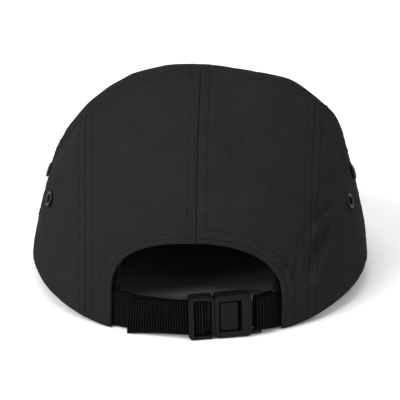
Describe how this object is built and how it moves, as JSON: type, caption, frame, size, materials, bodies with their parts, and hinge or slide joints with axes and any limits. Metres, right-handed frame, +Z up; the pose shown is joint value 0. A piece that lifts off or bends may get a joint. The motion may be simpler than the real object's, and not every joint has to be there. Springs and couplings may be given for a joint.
{
  "type": "five panel cap",
  "caption": "Soft cloth cap with side panels, flat peak, open back arch and a webbing strap with an adjustable push-pad buckle.",
  "frame": {"origin": "on the surface that the cap rests on, under the middle of the cap's box", "axes": "+Z up, +Y towards the back of the cap and its buckle, -Y towards the peak, +X towards the wearer's left"},
  "size_m": [0.172, 0.2691, 0.0999],
  "materials": {
    "panel_cloth": "matte black cotton twill with soft folds",
    "peak_cloth": "matte black cotton twill with stitch rows",
    "band_cloth": "matte black woven cotton band",
    "eyelet_metal": "black lacquered metal",
    "webbing": "black ribbed nylon webbing with a slight sheen",
    "buckle_plastic": "satin black moulded plastic"
  },
  "bodies": {
    "root": {"front_panel": "panel_cloth", "side_panel_left": "panel_cloth", "side_panel_right": "panel_cloth", "back_panel_left": "panel_cloth", "back_panel_right": "panel_cloth", "peak": "peak_cloth", "sweatband": "band_cloth", "eyelet_left_front": "eyelet_metal", "eyelet_left_rear": "eyelet_metal", "eyelet_right_front": "eyelet_metal", "eyelet_right_rear": "eyelet_metal", "strap_adjustable": "webbing", "strap_fixed": "webbing", "buckle_tongue": "buckle_plastic", "buckle_socket": "buckle_plastic"}
  },
  "joints": []
}
